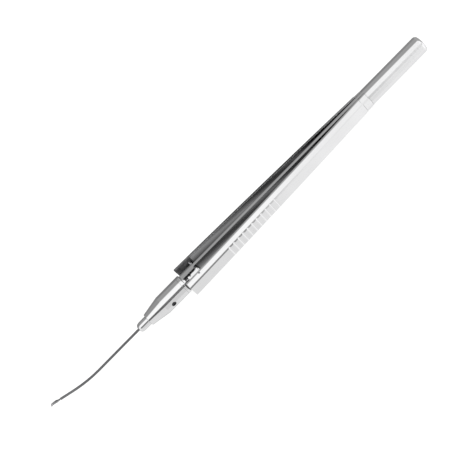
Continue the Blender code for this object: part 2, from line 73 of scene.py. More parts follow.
# Core bar
ROD_R = high("core_frame").z
TAIL_FLAT_R = 1.3
ROOT_X = 19.5
PLATE_HALF_T = 0.45
PLATE_R = 2.43
PLATE_END_X = 79.88
TONGUE_X = 80.25
TONGUE_HALF_T = 0.85
CORE_FRONT_X = 84.25
CORE_FRONT_EASE = 0.05
BOSS_R = 1.95
BOSS_CHAMFER = 0.2
BOSS_END_X = high("core_frame").x
SLOT_X = (79.4, 83.85)
SLOT_HALF_Z = 1.42
PUSHROD_HOLE_R = 0.65

# Radial gap round a fixed pin, dowel or screw
CLOSE_FIT = 0.02

# Arms
ARM_GAP = 0.03
ARM_R = math.hypot(high("arm_left").z, PLATE_HALF_T + ARM_GAP)
ARM_ROOT_R = 2.45
ARM_X = (low("arm_left").x, high("arm_left").x)
ARM_STEP_X = 21.75
ARM_STEP_RUN = 0.1
ARM_SPREAD = 2.55
ARM_BOW = 0.32
ARM_FLAT = 2.1
ARM_EDGE = 0.09
ARM_LIP = 0.025
PAD_X = (72.0, 76.0)
GROOVE_COUNT = 11
GROOVE_PITCH = 1.63
GROOVE_WIDTH = 0.76
GROOVE_FIRST_X = 54.0
GROOVE_DEPTH = 0.22
GROOVE_STEPS = 10
PLAIN_STEPS = 16
PLAIN_END_X = GROOVE_FIRST_X - 1.0
POCKET_START_X = 79.3
POCKET_LEAD = 0.25
POCKET_HALF_Z = 1.25
POCKET_DEPTH = 1.25
POCKET_CLEAR = 0.8

# Linkage
ARM_PIN = Vector((80.0, 3.45, 0.0))
SLIDER_PIN = Vector((82.2, 0.65, 0.0))
PIN_R = 0.25
PIN_EDGE = 0.08
ARM_EYE_FIT = 0.03
SLIDER_EYE_FIT = 0.08
LINK_EYE_R = 0.48
LINK_HALF_T = 0.36
SLIDER_LOW = low("slider_block")
SLIDER_HIGH = high("slider_block")
SLIDER_CHAMFER = 0.6

# Nose
RING_X = (low("lock_ring").x, high("lock_ring").x)
NOSE_X = (low("nose_body").x, high("nose_body").x)
NOSE_R = high("nose_body").z
NOSE_CONE_X = 92.25
NOSE_FRONT_R = 1.72
THREAD_FIT = 0.03
NOSE_BORE_R = 1.5
NOSE_BORE_X = (86.65, 95.2)
SPIGOT_R = 0.95
FERRULE_X = (97.5, high("nose_ferrule").x)
FERRULE_R = high("nose_ferrule").z
SCREW_X = 89.95
SCREW_R = 0.62
SCREW_TIP_R = 0.36
SCREW_HEAD_Y = 1.58
SCREW_SLOT_HALF_W = 0.11
SCREW_SLOT_DEPTH = 0.3
SCREW_Y = (0.6, high("set_screw").y)

# Return spring
SPRING_WIRE_R = 0.12
SPRING_TURNS = 4.5

# Shaft and jaws
TUBE_R = 0.32
TUBE_BORE_R = 0.25
TUBE_START_X = low("shaft_tube").x
BEND_START_X = 114.75
BEND_R = 27.5
BEND = math.radians(18.1)
TUBE_TIP_LENGTH = 3.56
JAW_ROOT = -1.25
JAW_STRAIGHT = 2.4
HOOK_R = 0.35
HOOK = math.radians(62.0)
HOOK_LENGTH = 0.42
HOOK_OUTER_Y = 0.36
JAW_GAP = 0.02
JAW_SPLAY = 0.044
JAW_SPLAY_END = 2.9
JAW_BULGES = {"left": 0.4, "right": 0.52}

# Cutting shapes reach past what they cut by a millimetre or two
CUT = 1.0
LONG_CUT = 2.0

# Edges that turn by more than this stay sharp
SHARP_DEG = 32.0


# ---------------------------------------------------------------- mesh helpers

def skin(rings, closed_run=False):
    """Faces between closed rings of points; an open run gets a flat cap at both ends."""
    bm = bmesh.new()
    rows = [[bm.verts.new(point) for point in ring] for ring in rings]
    pairs = list(zip(rows[:-1], rows[1:]))
    if closed_run:
        pairs.append((rows[-1], rows[0]))
    count = len(rows[0])
    for first, second in pairs:
        for i in range(count):
            j = (i + 1) % count
            bm.faces.new((first[i], first[j], second[j], second[i]))
    if not closed_run:
        bm.faces.new(rows[0])
        bm.faces.new(rows[-1])
    bmesh.ops.recalc_face_normals(bm, faces=bm.faces[:])
    return bm


def rounded(corners, steps=4):
    """Turn (a, b, fillet) corners of an outline into points, with an arc at each fillet."""
    points = []
    count = len(corners)
    for i, (a, b, fillet) in enumerate(corners):
        here = Vector((a, b))
        if fillet == 0.0:
            points.append(here)
            continue
        back = (Vector(corners[i - 1][:2]) - here).normalized()
        on = (Vector(corners[(i + 1) % count][:2]) - here).normalized()
        half = back.angle(on) / 2.0
        centre = here + (back + on).normalized() * (fillet / math.sin(half))
        first = (here + back * (fillet / math.tan(half)) - centre).normalized()
        last = (here + on * (fillet / math.tan(half)) - centre).normalized()
        points += [centre + first.slerp(last, k / steps) * fillet for k in range(steps + 1)]
    return points


def circle_ring(x, radius, segments):
    """Points of a circle about the X axis."""
    step = 2.0 * math.pi / segments
    angles = [i * step for i in range(segments)]
    return [Vector((x, radius * math.cos(a), radius * math.sin(a))) for a in angles]


def turned(corners, segments=96, hollow=False):
    """Turn an outline of (x, radius, fillet) corners about X; a hollow one closes on itself."""
    outline = rounded(corners)
    return skin([circle_ring(x, r, segments) for x, r in outline], closed_run=hollow)


def rod_along(start, end, radius, segments=32, edge=0.0):
    """A round rod between two points, with rounded ends if an edge size is given."""
    start = Vector(start)
    end = Vector(end)
    length = (end - start).length
    corners = [(0.0, radius, edge), (length, radius, edge)]
    if edge > 0.0:
        face_r = radius * 0.3
        corners = [(0.0, face_r, 0.0), *corners, (length, face_r, 0.0)]
    bm = turned(corners, segments)
    turn = (end - start).to_track_quat("X", "Z").to_matrix().to_4x4()
    bmesh.ops.transform(bm, matrix=Matrix.Translation(start) @ turn, verts=bm.verts[:])
    return bm


def block(corner_a, corner_b):
    """A box between two corners."""
    corner_a = Vector(corner_a)
    corner_b = Vector(corner_b)
    bm = bmesh.new()
    bmesh.ops.create_cube(bm, size=1.0)
    size = Matrix.Diagonal((*(corner_b - corner_a), 1.0))
    middle = Matrix.Translation((corner_a + corner_b) / 2.0)
    bmesh.ops.transform(bm, matrix=middle @ size, verts=bm.verts[:])
    return bm


def to_object(name, bm):
    """A new object in metres from a bmesh in millimetres."""
    bmesh.ops.scale(bm, vec=(MM, MM, MM), verts=bm.verts[:])
    bmesh.ops.recalc_face_normals(bm, faces=bm.faces[:])
    mesh = bpy.data.meshes.new(name)
    bm.to_mesh(mesh)
    bm.free()
    obj = bpy.data.objects.new(name, mesh)
    bpy.context.scene.collection.objects.link(obj)
    return obj


def keep_result(obj):
    """Make the outcome of an object's modifiers its own mesh."""
    graph = bpy.context.evaluated_depsgraph_get()
    mesh = bpy.data.meshes.new_from_object(obj.evaluated_get(graph))
    obj.modifiers.clear()
    old = obj.data
    obj.data = mesh
    bpy.data.meshes.remove(old)


def second_finish(obj, material, inside):
    """Give a second material to the faces whose middle is inside, a test on millimetres."""
    obj.data.materials.append(material)
    for face in obj.data.polygons:
        if inside(face.center / MM):
            face.material_index = 1


def combine(target, bm, operation="DIFFERENCE"):
    """Cut a shape out of an object, or join it to the object, and keep the result as its mesh."""
    tool = to_object("tool", bm)
    modifier = target.modifiers.new("tool", "BOOLEAN")
    modifier.operation = operation
    modifier.solver = "EXACT"
    modifier.object = tool
    keep_result(target)
    bpy.data.objects.remove(tool, do_unlink=True)


def even_shading(obj):
    """Let large faces set the shading at their edges; the modifier needs areas in square millimetres."""
    obj.data.shade_smooth()
    obj.data.set_sharp_from_angle(angle=math.radians(SHARP_DEG))
    obj.data.transform(Matrix.Scale(1.0 / MM, 4))
    modifier = obj.modifiers.new("even shading", "WEIGHTED_NORMAL")
    modifier.keep_sharp = True
    modifier.weight = 80
    keep_result(obj)
    obj.data.transform(Matrix.Scale(MM, 4))


def finish_piece(obj, body, nodes, material):
    """Shade a piece, give it its material, tie it to its body and hide the CAD nodes it stands for."""
    even_shading(obj)
    obj.data.materials.clear()
    obj.data.materials.append(material)
    if body:
        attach(obj, body)
    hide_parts(*nodes)


# ---------------------------------------------------------------- materials

def link(tree, source, output, target, socket):
    """Join two sockets of a node tree."""
    tree.links.new(source.outputs[output], target.inputs[socket])


EVEN = (1.0, 1.0, 1.0)
CLOUD_SCALE = 140.0
CLOUD_DETAIL = 2.0
RELIEF_STRENGTH = 0.35
NOISE_MIDDLE = (0.3, 0.7)


def grain(tree, stretch, scale, detail=4.0):
    """A noise texture over object space, stretched by a scale for each axis."""
    place = tree.nodes.new("ShaderNodeTexCoord")
    mapping = tree.nodes.new("ShaderNodeMapping")
    mapping.inputs["Scale"].default_value = stretch
    noise = tree.nodes.new("ShaderNodeTexNoise")
    noise.inputs["Scale"].default_value = scale
    noise.inputs["Detail"].default_value = detail
    link(tree, place, "Object", mapping, "Vector")
    link(tree, mapping, "Vector", noise, "Vector")
    return noise


def between(tree, source, floor_value, top_value):
    """Spread a noise texture's middle range over two values."""
    spread = tree.nodes.new("ShaderNodeMapRange")
    spread.inputs["From Min"].default_value = NOISE_MIDDLE[0]
    spread.inputs["From Max"].default_value = NOISE_MIDDLE[1]
    spread.inputs["To Min"].default_value = floor_value
    spread.inputs["To Max"].default_value = top_value
    link(tree, source, "Fac", spread, "Value")
    return spread


def tint(tree, source, dark, light):
    """Colour that drifts between two tones with a noise texture."""
    ramp = tree.nodes.new("ShaderNodeValToRGB")
    ramp.color_ramp.elements[0].position = NOISE_MIDDLE[0]
    ramp.color_ramp.elements[0].color = (*dark, 1.0)
    ramp.color_ramp.elements[1].position = NOISE_MIDDLE[1]
    ramp.color_ramp.elements[1].color = (*light, 1.0)
    link(tree, source, "Fac", ramp, "Fac")
    return ramp


def finish(name, dark, light, rough, stretch, scale, depth, metallic=1.0, turned_marks=0.0):
    """A procedural finish: tone, gloss and fine relief from stretched grain."""
    material = bpy.data.materials.new(name)
    material.use_nodes = True
    tree = material.node_tree
    shader = tree.nodes["Principled BSDF"]
    shader.inputs["Metallic"].default_value = metallic
    marks = grain(tree, stretch, scale)
    cloud = grain(tree, EVEN, CLOUD_SCALE, CLOUD_DETAIL)
    link(tree, tint(tree, cloud, dark, light), "Color", shader, "Base Color")
    link(tree, between(tree, marks, *rough), "Result", shader, "Roughness")
    bump = tree.nodes.new("ShaderNodeBump")
    bump.inputs["Strength"].default_value = RELIEF_STRENGTH
    bump.inputs["Distance"].default_value = depth
    link(tree, marks, "Fac", bump, "Height")
    link(tree, bump, "Normal", shader, "Normal")
    if turned_marks:
        tangent = tree.nodes.new("ShaderNodeTangent")
        tangent.direction_type = "RADIAL"
        tangent.axis = "X"
        shader.inputs["Anisotropic"].default_value = turned_marks
        shader.inputs["Anisotropic Rotation"].default_value = 0.25
        link(tree, tangent, "Tangent", shader, "Tangent")
    return material


def make_finishes():
    """Every finish of the instrument, by name."""
    return {
        "polished": finish(
            "polished_steel",
            dark=(0.745, 0.745, 0.75), light=(0.785, 0.785, 0.79), rough=(0.06, 0.11),
            stretch=(0.04, 1.0, 1.0), scale=4000.0, depth=1e-7,
        ),
        "turned": finish(
            "turned_steel",
            dark=(0.75, 0.75, 0.755), light=(0.79, 0.79, 0.795), rough=(0.10, 0.15),
            stretch=(1.0, 0.03, 0.03), scale=4000.0, depth=1e-7, turned_marks=0.7,
        ),
        # Milled faces: rougher, and with a tone far below steel's own, as painted shade for the arm's
        # deep pocket
        "milled": finish(
            "milled_steel",
            dark=(0.29, 0.29, 0.295), light=(0.37, 0.37, 0.375), rough=(0.35, 0.50),
            stretch=EVEN, scale=5000.0, depth=6e-7,
        ),
        "satin": finish(
            "satin_steel",
            dark=(0.54, 0.54, 0.55), light=(0.64, 0.64, 0.65), rough=(0.20, 0.30),
            stretch=EVEN, scale=5000.0, depth=5e-7,
        ),
        "black": finish(
            "black_oxide_steel",
            dark=(0.06, 0.06, 0.063), light=(0.10, 0.10, 0.105), rough=(0.34, 0.46),
            stretch=EVEN, scale=6000.0, depth=6e-7,
        ),
        "tube": finish(
            "drawn_tube_steel",
            dark=(0.16, 0.16, 0.165), light=(0.21, 0.21, 0.215), rough=(0.26, 0.36),
            stretch=(0.05, 1.0, 1.0), scale=5000.0, depth=4e-7,
        ),
        "jaw": finish(
            "electropolished_steel",
            dark=(0.26, 0.26, 0.265), light=(0.34, 0.34, 0.345), rough=(0.14, 0.24),
            stretch=EVEN, scale=5000.0, depth=2e-7,
        ),
        "spring": finish(
            "spring_steel",
            dark=(0.46, 0.46, 0.48), light=(0.58, 0.58, 0.60), rough=(0.22, 0.34),
            stretch=EVEN, scale=5000.0, depth=4e-7,
        ),
        "rubber": finish(
            "seal_rubber",
            dark=(0.012, 0.012, 0.013), light=(0.03, 0.03, 0.032), rough=(0.55, 0.75),
            stretch=EVEN, scale=5000.0, depth=3e-6, metallic=0.0,
        ),
    }


LOOKS = make_finishes()


# ---------------------------------------------------------------- core bar

def oval_ring(x, half_y, radius, per_side=13):
    """Section of the core: a circle of the radius, milled flat at +half_y and -half_y."""
    ring = []
    diagonal = math.sin(math.pi / 4.0)
    edge = math.asin(min(half_y / radius, diagonal))
    for k in range(per_side):
        a = edge - 2.0 * edge * k / per_side
        ring.append(Vector((x, radius * math.sin(a), radius * math.cos(a))))
    tall = radius * math.cos(edge)
    bulge = math.pi / 2.0 - edge
    milled_flat = half_y < radius * diagonal
    for k in range(per_side):
        share = 1.0 - 2.0 * k / per_side
        if milled_flat:
            ring.append(Vector((x, -half_y, tall * share)))
        else:
            a = bulge * share
            ring.append(Vector((x, -radius * math.cos(a), radius * math.sin(a))))
    return ring + [Vector((p.x, -p.y, -p.z)) for p in ring]


def build_core():
    """Tail rod, plate, tongue and boss, turned and milled from one bar."""
    tail = [
        (0.0, TAIL_FLAT_R, 0.0),
        (0.13, 2.0, 0.5),
        (0.62, ROD_R, 1.0),
        (ROOT_X, ROD_R, 0.0),
    ]
    rings = [oval_ring(x, r, r) for x, r in rounded(tail, 8)]
    front_run = 0.06
    stations = [
        (ROOT_X, PLATE_HALF_T),
        (PLATE_END_X, PLATE_HALF_T),
        (TONGUE_X, TONGUE_HALF_T),
        (CORE_FRONT_X - front_run, TONGUE_HALF_T),
    ]
    rings += [oval_ring(x, t, PLATE_R) for x, t in stations]
    front_t = TONGUE_HALF_T - CORE_FRONT_EASE
    rings.append(oval_ring(CORE_FRONT_X, front_t, PLATE_R - CORE_FRONT_EASE))
    core = to_object("core_bar", skin(rings))
    overlap = 0.3
    boss = [
        (CORE_FRONT_X - overlap, BOSS_R, 0.0),
        (BOSS_END_X - BOSS_CHAMFER, BOSS_R, 0.0),
        (BOSS_END_X, BOSS_R - BOSS_CHAMFER, 0.0),
    ]
    combine(core, turned(boss, 64), "UNION")
    rear, front = SLOT_X
    combine(core, block((rear, -LONG_CUT, -SLOT_HALF_Z), (front, LONG_CUT, SLOT_HALF_Z)))
    hole = [(front - overlap, PUSHROD_HOLE_R, 0.0), (BOSS_END_X + 0.5, PUSHROD_HOLE_R, 0.0)]
    combine(core, turned(hole, 40))
    for node in ("root_dowel_rear", "root_dowel_front"):
        x = (low(node).x + high(node).x) / 2.0
        hole_r = (high(node).x - low(node).x) / 2.0 + CLOSE_FIT
        combine(core, rod_along((x, -CUT, 0.0), (x, CUT, 0.0), hole_r))
    finish_piece(core, "handle", ["core_frame"], LOOKS["polished"])
    second_finish(core, LOOKS["turned"], lambda p: p.x < ROOT_X)


# ---------------------------------------------------------------- arms

def arm_offset(x):
    """How far an arm's own centre line has moved out from the axis at x."""
    t = (x - ROOT_X) / (CORE_FRONT_X - ROOT_X)
    return ARM_SPREAD * (t + ARM_BOW * t * (1.0 - t))


def arm_section(x, side, radius, flat, inset=0.0):
    """Half-round section with rounded edges: flat inside, narrower flat outside."""
    least_round = 0.02
    inner = PLATE_HALF_T + ARM_GAP + inset
    radius = radius - inset
    flat = min(flat - inset, radius - least_round)
    edge = ARM_EDGE - inset * 0.6
    low_turn = math.acos((inner + ARM_LIP) / (radius - ARM_LIP))
    high_turn = math.acos(min((flat - edge) / (radius - edge), 0.9999))
    half = []
    edge_steps = 4
    round_steps = 20
    for k in range(edge_steps + 1):
        a = math.pi + (low_turn - math.pi) * k / edge_steps
        y = inner + ARM_LIP + ARM_LIP * math.cos(a)
        z = (radius - ARM_LIP) * math.sin(low_turn) + ARM_LIP * math.sin(a)
        half.append((y, z))
    for k in range(1, round_steps):
        a = low_turn + (high_turn - low_turn) * k / round_steps
        half.append((radius * math.cos(a), radius * math.sin(a)))
    for k in range(edge_steps + 1):
        a = high_turn * (1.0 - k / edge_steps)
        y = flat - edge + edge * math.cos(a)
        z = (radius - edge) * math.sin(high_turn) + edge * math.sin(a)
        half.append((y, z))
    loop = half + [(y, -z) for y, z in reversed(half)]
    offset = arm_offset(x)
    return [Vector((x, side * (offset + y), z)) for y, z in loop]


def arm_stations():
    """Stations (x, radius, flat, inset) of an arm from its root to its front end."""
    steps = 5
    soft = 0.07
    seam = 0.02
    start, front = ARM_X
    full = (ARM_ROOT_R, ARM_ROOT_R)
    stations = []
    for k in range(steps):
        a = math.pi / 2.0 * k / steps
        stations.append((start + seam * (1.0 - math.cos(a)), *full, seam * (1.0 - math.sin(a))))
    stations.append((ARM_STEP_X - ARM_STEP_RUN, *full, 0.0))
    for k in range(PLAIN_STEPS + 1):
        x = ARM_STEP_X + (PLAIN_END_X - ARM_STEP_X) * k / PLAIN_STEPS
        stations.append((x, ARM_R, ARM_FLAT, 0.0))
    for groove in range(GROOVE_COUNT):
        middle = GROOVE_FIRST_X + groove * GROOVE_PITCH
        for k in range(GROOVE_STEPS + 1):
            part = k / GROOVE_STEPS - 0.5
            depth = GROOVE_DEPTH * math.cos(math.pi * part)
            stations.append((middle + GROOVE_WIDTH * part, ARM_R, ARM_FLAT - depth, 0.0))
    for x in (*PAD_X, POCKET_START_X - POCKET_LEAD, ARM_PIN.x):
        stations.append((x, ARM_R, ARM_FLAT, 0.0))
    for k in range(steps + 1):
        a = math.pi / 2.0 * k / steps
        x = front - soft * (1.0 - math.sin(a))
        stations.append((x, ARM_R, ARM_FLAT, soft * (1.0 - math.cos(a))))
    return stations


def build_arm(name, side):
    """One spring arm with its grooved finger flat, pocket and pin hole."""
    rings = [arm_section(x, side, *rest) for x, *rest in arm_stations()]
    arm = to_object(f"spring_arm_{name}", skin(rings))
    inner = arm_offset(ARM_PIN.x) + PLATE_HALF_T
    ends = sorted((side * (inner - POCKET_CLEAR), side * (inner + POCKET_DEPTH)))
    front = CORE_FRONT_X + CUT
    pocket = block(
        (POCKET_START_X, ends[0], -POCKET_HALF_Z),
        (front, ends[1], POCKET_HALF_Z),
    )
    combine(arm, pocket)
    middle = Vector((ARM_PIN.x, side * ARM_PIN.y, 0.0))
    through = Vector((0.0, 0.0, 3.0))
    combine(arm, rod_along(middle - through, middle + through, PIN_R + CLOSE_FIT))
    finish_piece(arm, f"{name}_arm", [f"arm_{name}"], LOOKS["polished"])
    margin = 0.01

    def milled(p):
        """Whether a face is in the pocket or on the inner flat around it, where the darker milled finish
        paints shade into the recess.
        """
        on_flat = abs(p.y) < arm_offset(p.x) + PLATE_HALF_T + ARM_GAP + 2.0 * margin
        in_depth = abs(p.y) < inner + POCKET_DEPTH + margin
        in_pocket = in_depth and abs(p.z) < POCKET_HALF_Z + margin
        return p.x > POCKET_START_X - margin and (on_flat or in_pocket)

    # The pocket and the inner flat around it get the rough milled finish, darkened as painted shade
    second_finish(arm, LOOKS["milled"], milled)


# ---------------------------------------------------------------- linkage

def build_pins(name, side):
    """The arm's cross pin and the slider's pin, both with rounded ends."""
    body = {"arm_pin": f"{name}_arm", "slider_pin": "slider"}
    for kind, centre in (("arm_pin", ARM_PIN), ("slider_pin", SLIDER_PIN)):
        node = f"{kind}_{name}"
        middle = Vector((centre.x, side * centre.y, 0.0))
        reach = Vector((0.0, 0.0, high(node).z))
        bm = rod_along(middle - reach, middle + reach, PIN_R, 40, PIN_EDGE)
        pin = to_object(f"round_{node}", bm)
        finish_piece(pin, body[kind], [node], LOOKS["satin"])


def build_link(name, side):
    """Toggle link: an eased bar with an eye at each end and a barrel on the arm's pin."""
    start = Vector((ARM_PIN.x, side * ARM_PIN.y, 0.0))
    end = Vector((SLIDER_PIN.x, side * SLIDER_PIN.y, 0.0))
    angle = math.atan2(end.y - start.y, end.x - start.x)
    rings = []
    ease = 0.06
    flank = LINK_HALF_T - ease
    eye_steps = 24
    for z, inset in ((-LINK_HALF_T, ease), (-flank, 0.0), (flank, 0.0), (LINK_HALF_T, ease)):
        ring = []
        for centre, first in ((start, math.pi / 2.0), (end, -math.pi / 2.0)):
            for i in range(eye_steps + 1):
                a = angle + first + math.pi * i / eye_steps
                out = Vector((math.cos(a), math.sin(a), 0.0)) * (LINK_EYE_R - inset)
                ring.append(centre + out + Vector((0.0, 0.0, z)))
        rings.append(ring)
    bar = to_object(f"toggle_{name}", skin(rings))
    barrel = Vector((0.0, 0.0, high(f"link_{name}").z))
    barrel_r = LINK_EYE_R - 0.02
    combine(bar, rod_along(start - barrel, start + barrel, barrel_r, 48), "UNION")
    through = Vector((0.0, 0.0, LONG_CUT))
    combine(bar, rod_along(start - through, start + through, PIN_R + ARM_EYE_FIT))
    combine(bar, rod_along(end - through, end + through, PIN_R + SLIDER_EYE_FIT))
    finish_piece(bar, f"{name}_link", [f"link_{name}"], LOOKS["satin"])


def build_slider():
    """Chamfered bright block that slides in the core's slot."""
    y, z, c = SLIDER_HIGH.y, SLIDER_HIGH.z, SLIDER_CHAMFER
    rings = []
    ease = 0.07
    brink = 0.02
    start, end = SLIDER_LOW.x, SLIDER_HIGH.x
    stations = (
        (start, ease),
        (start + brink, ease * 0.4),
        (start + ease, 0.0),
        (end - ease, 0.0),
        (end - brink, ease * 0.4),
        (end, ease),
    )
    for x, inset in stations:
        a, b = y - inset, z - inset
        half = [(a - c, b), (a, b - c), (a, c - b), (a - c, -b)]
        corners = [(p, q, 0.05) for p, q in half + [(-p, -q) for p, q in half]]
        rings.append([Vector((x, p.x, p.y)) for p in rounded(corners, 3)])
    slider = to_object("bright_slider", skin(rings))
    gap = 0.05
    space = LINK_HALF_T + gap
    web = 0.13
    back = start + 0.85
    front = SLIDER_PIN.x + LINK_EYE_R + gap
    through = Vector((0.0, 0.0, LONG_CUT))
    for side in (-1.0, 1.0):
        ends = sorted((side * web, side * (y + CUT)))
        combine(slider, block((back, ends[0], -space), (front, ends[1], space)))
        middle = Vector((SLIDER_PIN.x, side * SLIDER_PIN.y, 0.0))
        combine(slider, rod_along(middle - through, middle + through, PIN_R + CLOSE_FIT))
    finish_piece(slider, "slider", ["slider_block"], LOOKS["polished"])


# ---------------------------------------------------------------- nose

def build_lock_ring():
    """Ring that locks the nose on the boss."""
    start, end = RING_X
    inner = BOSS_R + THREAD_FIT
    corners = [
        (start, inner, 0.0),
        (start, NOSE_R, 0.42),
        (end, NOSE_R, 0.02),
        (end, inner, 0.0),
    ]
    ring = to_object("bright_lock_ring", turned(corners, 128, hollow=True))
    finish_piece(ring, "handle", ["lock_ring"], LOOKS["turned"])


def build_nose():
    """Cylinder and cone with the side hole, bored for the plunger and the ferrule."""
    start, end = NOSE_X
    thread_r = BOSS_R + THREAD_FIT
    spigot_r = SPIGOT_R + THREAD_FIT
    corners = [
        (start, thread_r, 0.0),
        (start, NOSE_R, 0.02),
        (SCREW_X - 1.0, NOSE_R, 0.0),
        (SCREW_X + 1.0, NOSE_R, 0.0),
        (NOSE_CONE_X, NOSE_R, 0.6),
        (end, NOSE_FRONT_R, 0.1),
        (end, spigot_r, 0.0),
        (NOSE_BORE_X[1], spigot_r, 0.0),
        (NOSE_BORE_X[1], NOSE_BORE_R, 0.0),
        (NOSE_BORE_X[0], NOSE_BORE_R, 0.0),
        (NOSE_BORE_X[0], thread_r, 0.0),
    ]
    nose = to_object("turned_nose", turned(corners, 128, hollow=True))
    combine(nose, rod_along((SCREW_X, 0.5, 0.0), (SCREW_X, 3.5, 0.0), SCREW_R + CLOSE_FIT, 48))
    finish_piece(nose, "handle", ["nose_body"], LOOKS["turned"])


def build_ferrule():
    """Round-nosed front sleeve."""
    start, end = FERRULE_X
    rear = low("nose_ferrule").x
    bush_r = high("guide_bush").y
    gap = 0.05
    bush_end = high("guide_bush").x + gap
    socket_r = bush_r + THREAD_FIT
    corners = [
        (rear, socket_r, 0.0),
        (rear, SPIGOT_R, 0.05),
        (start, SPIGOT_R, 0.0),
        (start, FERRULE_R, 0.06),
    ]
    dome = 1.15
    dome_steps = 12
    front_r = 0.55
    for k in range(dome_steps + 1):
        a = math.pi / 2.0 * k / dome_steps
        r = front_r + (FERRULE_R - front_r) * math.cos(a)
        corners.append((end - dome + dome * math.sin(a), r, 0.0))
    tube_hole_r = TUBE_R + gap
    corners += [
        (end, tube_hole_r, 0.06),
        (bush_end, tube_hole_r, 0.0),
        (bush_end, socket_r, 0.0),
    ]
    ferrule = to_object("round_ferrule", turned(corners, 96, hollow=True))
    finish_piece(ferrule, "handle", ["nose_ferrule"], LOOKS["turned"])


def build_set_screw():
    """Slotted screw, sunk in the nose's side hole."""
    tip, top = SCREW_Y
    face_r = 0.2
    corners = [
        (tip, face_r, 0.0),
        (tip, SCREW_TIP_R, 0.08),
        (SCREW_HEAD_Y, SCREW_TIP_R, 0.0),
        (SCREW_HEAD_Y, SCREW_R, 0.04),
        (top, SCREW_R, 0.07),
        (top, face_r, 0.0),
    ]
    bm = turned(corners, 64)
    stand = Matrix.Translation((SCREW_X, 0.0, 0.0)) @ Matrix.Rotation(math.pi / 2.0, 4, "Z")
    bmesh.ops.transform(bm, matrix=stand, verts=bm.verts[:])
    screw = to_object("slotted_screw", bm)
    slot_floor = (SCREW_X - SCREW_SLOT_HALF_W, top - SCREW_SLOT_DEPTH, -CUT)
    slot_top = (SCREW_X + SCREW_SLOT_HALF_W, top + 0.5, CUT)
    combine(screw, block(slot_floor, slot_top))
    finish_piece(screw, "handle", ["set_screw"], LOOKS["black"])


def build_spring():
    """Return spring, coiled from the nose's shoulder back to the plunger."""
    radius = high("return_spring").y - SPRING_WIRE_R
    start = low("return_spring").x + SPRING_WIRE_R
    end = high("return_spring").x - SPRING_WIRE_R
    pitch = (end - start) / SPRING_TURNS
    per_turn = 32
    sides = 12
    angles = [2.0 * math.pi * k / sides for k in range(sides)]
    rings = []
    for i in range(int(SPRING_TURNS * per_turn) + 1):
        a = 2.0 * math.pi * i / per_turn
        out = Vector((0.0, math.cos(a), math.sin(a)))
        along = Vector((pitch / (2.0 * math.pi * radius), -math.sin(a), math.cos(a))).normalized()
        across = along.cross(out)
        centre = Vector((start + pitch * i / per_turn, 0.0, 0.0)) + out * radius
        spokes = [out * math.cos(b) + across * math.sin(b) for b in angles]
        rings.append([centre + spoke * SPRING_WIRE_R for spoke in spokes])
    spring = to_object("coil_spring", skin(rings))
    finish_piece(spring, None, ["return_spring"], LOOKS["spring"])
    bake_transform(spring)


# ---------------------------------------------------------------- shaft and jaws

def shaft_frame(run):
    """Centre, along and up vectors of the shaft's line, run mm after the bend starts."""
    angle = min(max(run / BEND_R, 0.0), BEND)
    along = Vector((math.cos(angle), 0.0, math.sin(angle)))
    up = Vector((-math.sin(angle), 0.0, math.cos(angle)))
    centre = Vector((BEND_START_X, 0.0, BEND_R)) - up * BEND_R
    return centre + along * (run - angle * BEND_R), along, up


def shaft_ring(run, radius, segments=40):
    """A circle across the shaft's line."""
    centre, _, up = shaft_frame(run)
    side = Vector((0.0, 1.0, 0.0))
    angles = [2.0 * math.pi * i / segments for i in range(segments)]
    return [centre + (side * math.cos(a) + up * math.sin(a)) * radius for a in angles]


MOUTH_RUN = BEND_R * BEND + TUBE_TIP_LENGTH


def build_tube():
    """Outer tube, straight and then bent, open at both ends."""
    steps = 48
    runs = [TUBE_START_X - BEND_START_X] + [BEND_R * BEND * k / steps for k in range(steps + 1)]
    outer = [shaft_ring(run, TUBE_R) for run in runs]
    ease = 0.03
    ease_steps = 3
    for k in range(ease_steps + 1):
        a = math.pi / 2.0 * k / ease_steps
        run = MOUTH_RUN - ease * (1.0 - math.sin(a))
        outer.append(shaft_ring(run, TUBE_R - ease * (1.0 - math.cos(a))))
    inner = [shaft_ring(run, TUBE_BORE_R) for run in runs + [MOUTH_RUN]]
    tube = to_object("bent_tube", skin(outer + inner[::-1], closed_run=True))
    finish_piece(tube, "slider", ["shaft_tube"], LOOKS["tube"])


def jaw_line(run):
    """Distance along, height and turn angle of a jaw's middle line, run mm from the mouth."""
    if run <= JAW_STRAIGHT:
        return run, 0.0, 0.0
    arc = min((run - JAW_STRAIGHT) / HOOK_R, HOOK)
    extra = max(run - JAW_STRAIGHT - HOOK_R * HOOK, 0.0)
    along = JAW_STRAIGHT + HOOK_R * math.sin(arc) + extra * math.cos(arc)
    height = -HOOK_R * (1.0 - math.cos(arc)) - extra * math.sin(arc)
    return along, height, arc


def jaw_shape(bulge):
    """Stations (run, outer y, half height) of a jaw from its root to its pointed tip."""
    tip_run = JAW_STRAIGHT + HOOK_R * HOOK + HOOK_LENGTH
    return [
        (JAW_ROOT, 0.19, 0.15),
        (-0.6, 0.205, 0.16),
        (0.0, 0.222, 0.165),
        (0.35, 0.262, 0.17),
        (0.67, 0.308, 0.18),
        (0.86, 0.5 * (0.308 + bulge), 0.19),
        (1.05, bulge, 0.2),
        (1.3, bulge - 0.01, 0.2),
        (1.7, 0.7 * bulge + 0.3 * HOOK_OUTER_Y, 0.185),
        (2.1, 0.3 * bulge + 0.7 * HOOK_OUTER_Y, 0.165),
        (JAW_STRAIGHT, 0.355, 0.15),
        (JAW_STRAIGHT + 0.13, 0.345, 0.14),
        (JAW_STRAIGHT + 0.26, 0.335, 0.13),
        (JAW_STRAIGHT + 0.38, 0.325, 0.11),
        (tip_run - 0.15, 0.28, 0.07),
        (tip_run - 0.03, 0.24, 0.035),
        (tip_run, 0.215, 0.015),
    ]


